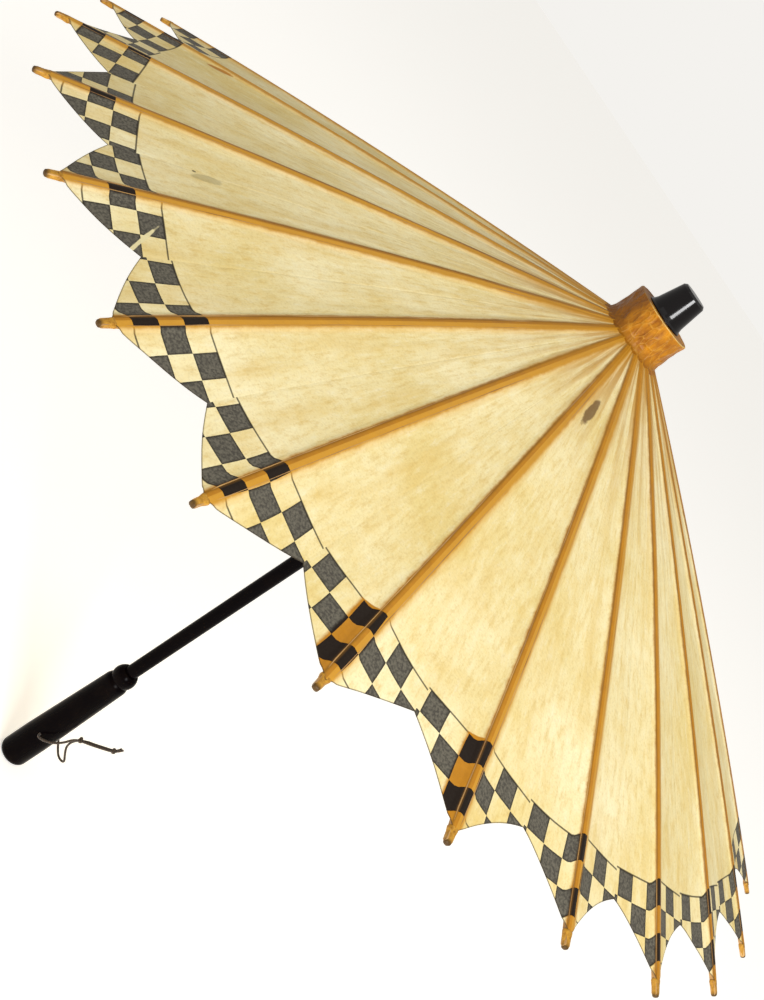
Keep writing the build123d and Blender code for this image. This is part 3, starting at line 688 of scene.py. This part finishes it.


# Lacquered mulberry paper: deep orange, browner in patches and at its foot; painted highlights
# of pale gold on the creases and round the rim, and painted shade on the side away from the lamp.
cover_paper = finish_named("lacquered_paper", roughness=0.42, specular_ior_level=0.22)
spot = add_node(cover_paper, "ShaderNodeTexCoord")["Object"]
stretched = add_node(cover_paper, "ShaderNodeMapping", {"Vector": spot, "Scale": (1, 1, 0.45)})[0]
blot = add_node(cover_paper, "ShaderNodeTexNoise", {"Vector": stretched, "Scale": 1 / (7 * MM),
                                                    "Detail": 6.0, "Roughness": 0.65})[0]
crease = add_node(cover_paper, "ShaderNodeTexVoronoi", {"Vector": stretched,
                                                        "Scale": 1 / (5 * MM)},
                  feature="DISTANCE_TO_EDGE")[0]
shade = add_node(cover_paper, "ShaderNodeMapRange", {"Value": blot, 1: 0.32, 2: 0.66})[0]
colour = add_node(cover_paper, "ShaderNodeMix", {"Factor": shade, 6: linear("#84490A"),
                                                 7: linear("#CD8812")}, data_type="RGBA")[2]
# painted highlight: pale gold along the crease lines, standing in for light caught by the crumples
rubbing_and_sheen = add_node(cover_paper, "ShaderNodeMapRange", {"Value": crease, 1: 0.0, 2: 0.05, 3: 0.35,
                                                      4: 0.0})[0]
colour = add_node(cover_paper, "ShaderNodeMix", {"Factor": rubbing_and_sheen, 6: colour,
                                                 7: linear("#D9A744")}, data_type="RGBA")[2]
part = add_node(cover_paper, "ShaderNodeAttribute", attribute_name="part")[2]
# painted highlight: a pale line round the rounded rim, where its edge catches the light
from_rim = add_node(cover_paper, "ShaderNodeMath", {0: part, 1: 10.3}, operation="SUBTRACT")[0]
from_rim = add_node(cover_paper, "ShaderNodeMath", {0: from_rim}, operation="ABSOLUTE")[0]
rim_line = add_node(cover_paper, "ShaderNodeMapRange", {"Value": from_rim, 1: 0.3, 2: 0.9,
                                                        3: 0.7, 4: 0.0})[0]
colour = add_node(cover_paper, "ShaderNodeMix", {"Factor": rim_line, 6: colour,
                                                 7: linear("#E3C476")}, data_type="RGBA")[2]
foot = add_node(cover_paper, "ShaderNodeMapRange", {"Value": part, 1: 2.0, 2: 5.0, 3: 0.7,
                                                    4: 0.0})[0]
foot = add_node(cover_paper, "ShaderNodeMath", {0: foot, 1: shade}, operation="MULTIPLY")[0]
colour = add_node(cover_paper, "ShaderNodeMix", {"Factor": foot, 6: colour,
                                                 7: linear("#6E430D")}, data_type="RGBA")[2]
# painted shade: darker brown on the side turned away from the lamp, read from x across the cap
across = add_node(cover_paper, "ShaderNodeSeparateXYZ", {0: spot})[0]
across = add_node(cover_paper, "ShaderNodeMath", {0: blot, 1: 8 * MM, 2: across},
                  operation="MULTIPLY_ADD")[0]
painted_shade_side = add_node(cover_paper, "ShaderNodeMapRange", {"Value": across, 1: -3 * MM,
                                                          2: -9 * MM, 4: 0.8})[0]
colour = add_node(cover_paper, "ShaderNodeMix", {"Factor": painted_shade_side, 6: colour,
                                                 7: linear("#7A4A12")}, data_type="RGBA")[2]
height = add_node(cover_paper, "ShaderNodeMapRange", {"Value": crease, 1: 0.0, 2: 0.12, 3: 1.0,
                                                      4: 0.0})[0]
height = add_node(cover_paper, "ShaderNodeMath", {0: blot, 1: 1.5, 2: height},
                  operation="MULTIPLY_ADD")[0]
relief = add_node(cover_paper, "ShaderNodeBump", {"Height": height, "Strength": 0.6,
                                                  "Distance": 0.4 * MM})[0]
drive(cover_paper, base_color=colour, normal=relief)

cover = hub_cover()
cover.data.materials.append(cover_paper)
wall = cover.modifiers.new("paper", "SOLIDIFY")
wall.thickness, wall.offset = 0.3 * MM, -1
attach(cover, "frame")
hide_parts("hub_cover")


# ---------------------------------------------------------------- wrist cord
# A waxed cord through the grip's cross hole. Its two ends are tied together by a knot close
# to the grip, run on side by side, and are tied off again. It keeps the set it has taken.
CORD_WIDE = 1.8
HOLE_HEIGHT = 40.0
LONG_STRAND = [
    (0.0, 0.0, HOLE_HEIGHT), (0.0, 8.0, HOLE_HEIGHT), (0.0, 15.6, HOLE_HEIGHT),
    (2.6, 17.6, HOLE_HEIGHT - 0.8), (11.2, 14.9, 33.6), (17.6, 9.4, 31.2), (23.4, 4.0, 31.0),
    (29.4, 2.6, 33.4), (22.3, 2.2, 39.9), (19.1, 1.8, 44.6), (18.7, 1.2, 50.8),
    (20.9, 0.7, 57.0), (25.5, 0.9, 62.4), (30.0, 1.2, 65.8), (36.4, 1.0, 71.8),
    (41.6, 0.9, 76.5), (43.6, 1.3, 79.4), (44.2, 2.2, 82.6),
]
SHORT_STRAND = [
    (0.0, 0.0, HOLE_HEIGHT), (0.0, -8.0, HOLE_HEIGHT), (0.0, -15.6, HOLE_HEIGHT),
    (3.0, -17.8, HOLE_HEIGHT + 1.2), (10.6, -15.2, 45.4), (15.6, -9.2, 50.6),
    (17.6, -3.4, 54.8), (20.9, -0.8, 57.9), (26.0, -0.7, 61.9), (30.0, -0.6, 65.2),
    (36.4, -0.8, 71.2), (41.6, -0.7, 76.1), (44.0, -0.7, 80.0), (45.6, -0.2, 84.4),
]
KNOTS = [("wrist_knot", (21.5, 0.0, 58.4), 0.66), ("end_knot", (42.1, 0.0, 76.9), 0.6)]


def strand(name, points):
    """A NURBS curve with these control points, as thick as the cord."""
    curve = bpy.data.curves.new(name, "CURVE")
    curve.dimensions = "3D"
    curve.bevel_depth, curve.bevel_resolution = CORD_WIDE / 2 * MM, 5
    curve.use_fill_caps = True
    curve.resolution_u = 12
    line = curve.splines.new("NURBS")
    line.points.add(len(points) - 1)
    line.points.foreach_set("co", np.c_[np.array(points) * MM, np.ones(len(points))].ravel())
    line.order_u, line.use_endpoint_u = 3, True
    piece = bpy.data.objects.new(name, curve)
    bpy.context.collection.objects.link(piece)
    return piece


def knot(name, at, size, along=(0.74, 0.0, 0.67)):
    """An overhand knot drawn tight: a tube round the trefoil sin t + 2 sin 2t,
    cos t - 2 cos 2t, -1.4 sin 3t, whose axis lies along the cord."""
    t = np.linspace(0, 2 * np.pi, 90, endpoint=False)
    line = np.stack([np.sin(t) + 2 * np.sin(2 * t), np.cos(t) - 2 * np.cos(2 * t),
                     -1.4 * np.sin(3 * t)], axis=-1) * size
    ahead = np.roll(line, -1, axis=0) - np.roll(line, 1, axis=0)
    ahead /= np.linalg.norm(ahead, axis=1)[:, None]
    out = line / np.linalg.norm(line, axis=1)[:, None]
    side = np.cross(ahead, out)
    side /= np.linalg.norm(side, axis=1)[:, None]
    out = np.cross(side, ahead)
    turn = np.linspace(0, 2 * np.pi, 12, endpoint=False)[None, :, None]
    tube = line[:, None] + CORD_WIDE * 0.48 * (out[:, None] * np.cos(turn)
                                               + side[:, None] * np.sin(turn))
    tube = np.concatenate([tube, tube[:1]], axis=0)
    lean = np.array(Vector((0, 0, 1)).rotation_difference(Vector(along)).to_matrix())
    return grid_mesh(name, tube @ lean.T + np.array(at), closed_round=True)


# Waxed cotton cord: dark brown, nearly black, three plies whose lay catches a dull shine.
waxed_cord = finish_named("waxed_cord", roughness=0.5, sheen_weight=0.2)
spot = add_node(waxed_cord, "ShaderNodeTexCoord")["Object"]
plies = add_node(waxed_cord, "ShaderNodeTexWave", {"Vector": spot, "Scale": 1 / (4.5 * MM),
                                                   "Distortion": 1.5},
                 bands_direction="DIAGONAL")[1]
fuzz = add_node(waxed_cord, "ShaderNodeTexNoise", {"Vector": spot, "Scale": 1 / (1.2 * MM),
                                                   "Detail": 3.0})[0]
shade = add_node(waxed_cord, "ShaderNodeMath", {0: plies, 1: fuzz}, operation="MULTIPLY")[0]
colour = add_node(waxed_cord, "ShaderNodeMix", {"Factor": shade, 6: linear("#1C130B"),
                                                7: linear("#5A4228")}, data_type="RGBA")[2]
relief = add_node(waxed_cord, "ShaderNodeBump", {"Height": plies, "Strength": 0.8,
                                                 "Distance": 0.25 * MM})[0]
drive(waxed_cord, base_color=colour, normal=relief)

knots = [knot(*values) for values in KNOTS]
long_strand = strand("wrist_cord_long", LONG_STRAND)
short_strand = strand("wrist_cord_short", SHORT_STRAND)
for piece in (*knots, long_strand, short_strand):
    piece.data.materials.append(waxed_cord)
    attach(piece, "frame")
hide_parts("wrist_cord")


# ---------------------------------------------------------------- floor and light
# A plain pale floor under the grip's butt, and soft studio light: one lamp low in front on the
# right, weaker ones high on the left and overhead, and a bright room.
FLOOR = "#F4F2EE"
FLOOR_HALF = 12000.0

floor = grid_mesh("floor", np.array([[[x, y, -0.2] for x in (-FLOOR_HALF, FLOOR_HALF)]
                                     for y in (-FLOOR_HALF, FLOOR_HALF)]))
# Matt paint: even and pale. From below it isn't there, so that the umbrella shows.
floor_paint = finish_named("matt_paint", roughness=0.9, base_color=linear(FLOOR),
                           emission_color=linear(FLOOR), emission_strength=0.56)
outside = add_node(floor_paint, "ShaderNodeNewGeometry")["Backfacing"]
above = add_node(floor_paint, "ShaderNodeMath", {0: 1.0, 1: outside}, operation="SUBTRACT")[0]
drive(floor_paint, alpha=above)
floor.data.materials.append(floor_paint)


def lamp(name, direction, distance, size, power, aim=(0, 0, 0.42)):
    """A square lamp of this size, in metres, facing the aim from a direction."""
    light = bpy.data.lights.new(name, "AREA")
    light.shape, light.size, light.energy = "SQUARE", size, power
    made = bpy.data.objects.new(name, light)
    bpy.context.collection.objects.link(made)
    made.location = Vector(aim) + Vector(direction).normalized() * distance
    made.rotation_euler = Vector(direction).to_track_quat("Z", "Y").to_euler()


lamp("key", (0.42, -0.84, 0.38), 2.6, 0.8, 50)
lamp("fill", (-0.4, -0.7, 0.9), 3.2, 2.5, 6)
lamp("top", (0.1, 0.2, 1.0), 3.4, 3.0, 12)

# The room lights everything evenly and looks as pale as the floor where the eye meets it.
world = bpy.data.worlds.new("room")
world.use_nodes = True
tree = world.node_tree
lit = tree.nodes["Background"]
lit.inputs[0].default_value = linear("#FFFDF8")
lit.inputs[1].default_value = 0.42
seen = tree.nodes.new("ShaderNodeBackground")
seen.inputs[0].default_value = linear(FLOOR)
straight = tree.nodes.new("ShaderNodeLightPath")
either = tree.nodes.new("ShaderNodeMixShader")
tree.links.new(straight.outputs["Is Camera Ray"], either.inputs[0])
tree.links.new(lit.outputs[0], either.inputs[1])
tree.links.new(seen.outputs[0], either.inputs[2])
tree.links.new(either.outputs[0], tree.nodes["World Output"].inputs[0])
bpy.context.scene.world = world
bpy.context.scene.view_settings.view_transform = "Standard"
